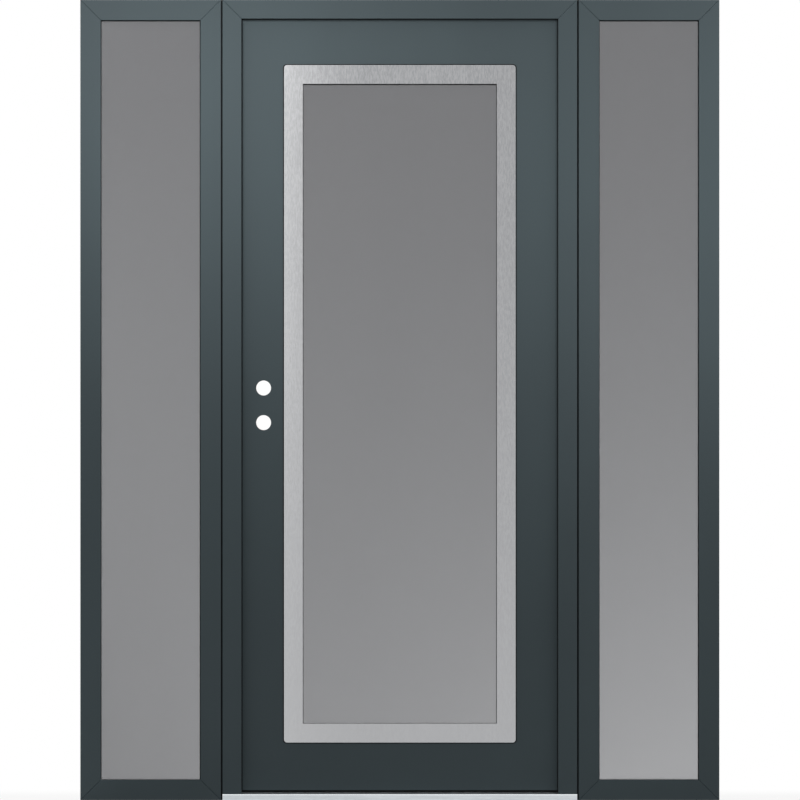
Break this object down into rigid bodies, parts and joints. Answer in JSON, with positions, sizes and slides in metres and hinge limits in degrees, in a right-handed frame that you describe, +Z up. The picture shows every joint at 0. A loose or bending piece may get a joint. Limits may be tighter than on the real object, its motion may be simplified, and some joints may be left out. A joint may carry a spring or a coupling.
{
  "type": "door with sidelights",
  "caption": "Entrance door with a glazed, inward-opening leaf in a mitred steel frame, with a fixed frosted sidelight on each side and an aluminium threshold.",
  "frame": {"origin": "middle of the threshold's underside, at mid depth of the frame", "axes": "+X to the right seen from outdoors, +Y indoors, +Z up"},
  "size_m": [1.622, 0.115, 2.032],
  "materials": {
    "slate_paint": "satin powder coat, blue-grey slate",
    "brushed_stainless": "brushed along its height",
    "frosted_glass": "satin etched, grey",
    "threshold_aluminium": "satin mill finish",
    "spacer_aluminium": "dull",
    "black_rubber": "matt",
    "hinge_steel": "satin",
    "leaf_core": "bare timber core, seen in the bores and the edge joint"
  },
  "bodies": {
    "frame": {"left_sidelight_wall_stile": "slate_paint", "left_sidelight_door_stile": "slate_paint", "left_sidelight_top_rail": "slate_paint", "left_sidelight_bottom_rail": "slate_paint", "left_sidelight_outdoor_pane": "frosted_glass", "left_sidelight_indoor_pane": "frosted_glass", "left_sidelight_spacer": "spacer_aluminium", "left_sidelight_beads": "slate_paint", "right_sidelight_wall_stile": "slate_paint", "right_sidelight_door_stile": "slate_paint", "right_sidelight_top_rail": "slate_paint", "right_sidelight_bottom_rail": "slate_paint", "right_sidelight_outdoor_pane": "frosted_glass", "right_sidelight_indoor_pane": "frosted_glass", "right_sidelight_spacer": "spacer_aluminium", "right_sidelight_beads": "slate_paint", "left_mull_seal": "black_rubber", "right_mull_seal": "black_rubber", "lock_jamb": "slate_paint", "hinge_jamb": "slate_paint", "door_head": "slate_paint", "lock_side_seal": "black_rubber", "hinge_side_seal": "black_rubber", "head_seal": "black_rubber", "threshold": "threshold_aluminium", "saddle": "threshold_aluminium", "upper_hinge_frame_half": "hinge_steel", "middle_hinge_frame_half": "hinge_steel", "lower_hinge_frame_half": "hinge_steel"},
    "leaf": {"outdoor_skin": "slate_paint", "indoor_skin": "slate_paint", "lock_stile": "leaf_core", "hinge_stile": "leaf_core", "leaf_top_rail": "leaf_core", "leaf_bottom_rail": "leaf_core", "lite_outdoor_pane": "frosted_glass", "lite_indoor_pane": "frosted_glass", "lite_spacer": "spacer_aluminium", "outdoor_trim": "brushed_stainless", "indoor_trim": "brushed_stainless", "door_sweep": "black_rubber", "upper_hinge_leaf_half": "hinge_steel", "middle_hinge_leaf_half": "hinge_steel", "lower_hinge_leaf_half": "hinge_steel"}
  },
  "joints": [
    {"name": "leaf_swing", "type": "hinge", "parent": "frame", "child": "leaf", "pos_m": [0.4185, 0.048, 1], "axis": [0, 0, -1], "range_deg": [0, 110]}
  ]
}
